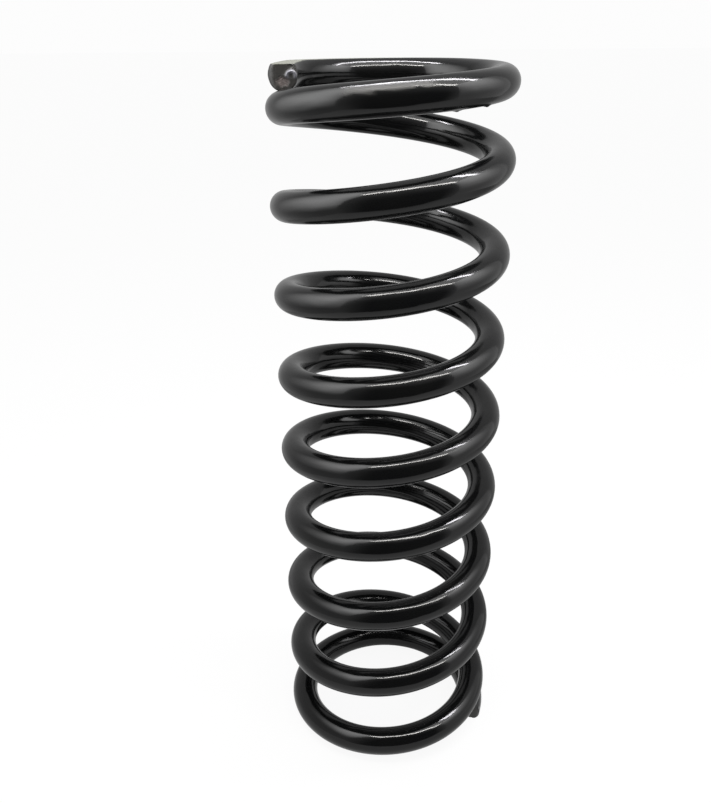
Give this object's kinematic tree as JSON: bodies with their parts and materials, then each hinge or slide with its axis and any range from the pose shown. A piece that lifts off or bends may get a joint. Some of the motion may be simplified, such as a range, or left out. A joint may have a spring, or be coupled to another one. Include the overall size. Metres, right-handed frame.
{
  "type": "compression coil spring",
  "caption": "Cylindrical steel compression spring with closed and ground ends, coated gloss black, for a coil-over damper.",
  "frame": {"origin": "centre of the lower seat, on the spring's axis, in the plane of the lower ground end", "axes": "+Z along the spring's axis from the lower seat to the upper seat; -X through the upper tip"},
  "size_m": [0.0804, 0.0804, 0.253],
  "materials": {
    "black_coat": "gloss black powder coat over spring steel"
  },
  "bodies": {
    "upper_end_coil": {"upper_end_coil": "black_coat"},
    "coil_2_front": {"coil_2_front": "black_coat"},
    "coil_3_back": {"coil_3_back": "black_coat"},
    "coil_3_front": {"coil_3_front": "black_coat"},
    "coil_4_back": {"coil_4_back": "black_coat"},
    "coil_4_front": {"coil_4_front": "black_coat"},
    "coil_5_back": {"coil_5_back": "black_coat"},
    "coil_5_front": {"coil_5_front": "black_coat"},
    "coil_6_back": {"coil_6_back": "black_coat"},
    "coil_6_front": {"coil_6_front": "black_coat"},
    "coil_7_back": {"coil_7_back": "black_coat"},
    "coil_7_front": {"coil_7_front": "black_coat"},
    "coil_8_back": {"coil_8_back": "black_coat"},
    "coil_8_front": {"coil_8_front": "black_coat"},
    "lower_end_coil": {"lower_end_coil": "black_coat"}
  },
  "joints": [
    {"name": "compression", "type": "slide", "parent": "lower_end_coil", "child": "upper_end_coil", "axis": [0, 0, 1], "range_m": [-0.12, 0], "stiffness_N_per_m": 41000},
    {"name": "coil_2_front_travel", "type": "slide", "parent": "lower_end_coil", "child": "coil_2_front", "axis": [0, 0, 1], "range_m": [-0.1115, 0]},
    {"name": "coil_3_back_travel", "type": "slide", "parent": "lower_end_coil", "child": "coil_3_back", "axis": [0, 0, 1], "range_m": [-0.1029, 0]},
    {"name": "coil_3_front_travel", "type": "slide", "parent": "lower_end_coil", "child": "coil_3_front", "axis": [0, 0, 1], "range_m": [-0.0943, 0]},
    {"name": "coil_4_back_travel", "type": "slide", "parent": "lower_end_coil", "child": "coil_4_back", "axis": [0, 0, 1], "range_m": [-0.0858, 0]},
    {"name": "coil_4_front_travel", "type": "slide", "parent": "lower_end_coil", "child": "coil_4_front", "axis": [0, 0, 1], "range_m": [-0.0772, 0]},
    {"name": "coil_5_back_travel", "type": "slide", "parent": "lower_end_coil", "child": "coil_5_back", "axis": [0, 0, 1], "range_m": [-0.0686, 0]},
    {"name": "coil_5_front_travel", "type": "slide", "parent": "lower_end_coil", "child": "coil_5_front", "axis": [0, 0, 1], "range_m": [-0.0601, 0]},
    {"name": "coil_6_back_travel", "type": "slide", "parent": "lower_end_coil", "child": "coil_6_back", "axis": [0, 0, 1], "range_m": [-0.0515, 0]},
    {"name": "coil_6_front_travel", "type": "slide", "parent": "lower_end_coil", "child": "coil_6_front", "axis": [0, 0, 1], "range_m": [-0.0429, 0]},
    {"name": "coil_7_back_travel", "type": "slide", "parent": "lower_end_coil", "child": "coil_7_back", "axis": [0, 0, 1], "range_m": [-0.0343, 0]},
    {"name": "coil_7_front_travel", "type": "slide", "parent": "lower_end_coil", "child": "coil_7_front", "axis": [0, 0, 1], "range_m": [-0.0258, 0]},
    {"name": "coil_8_back_travel", "type": "slide", "parent": "lower_end_coil", "child": "coil_8_back", "axis": [0, 0, 1], "range_m": [-0.0172, 0]},
    {"name": "coil_8_front_travel", "type": "slide", "parent": "lower_end_coil", "child": "coil_8_front", "axis": [0, 0, 1], "range_m": [-0.0086, 0]}
  ],
  "couplings": [
    {"joint": "coil_2_front_travel", "follows": "compression", "ratio": 0.92857},
    {"joint": "coil_3_back_travel", "follows": "compression", "ratio": 0.85714},
    {"joint": "coil_3_front_travel", "follows": "compression", "ratio": 0.78571},
    {"joint": "coil_4_back_travel", "follows": "compression", "ratio": 0.71429},
    {"joint": "coil_4_front_travel", "follows": "compression", "ratio": 0.64286},
    {"joint": "coil_5_back_travel", "follows": "compression", "ratio": 0.57143},
    {"joint": "coil_5_front_travel", "follows": "compression", "ratio": 0.5},
    {"joint": "coil_6_back_travel", "follows": "compression", "ratio": 0.42857},
    {"joint": "coil_6_front_travel", "follows": "compression", "ratio": 0.35714},
    {"joint": "coil_7_back_travel", "follows": "compression", "ratio": 0.28571},
    {"joint": "coil_7_front_travel", "follows": "compression", "ratio": 0.21429},
    {"joint": "coil_8_back_travel", "follows": "compression", "ratio": 0.14286},
    {"joint": "coil_8_front_travel", "follows": "compression", "ratio": 0.071429}
  ]
}
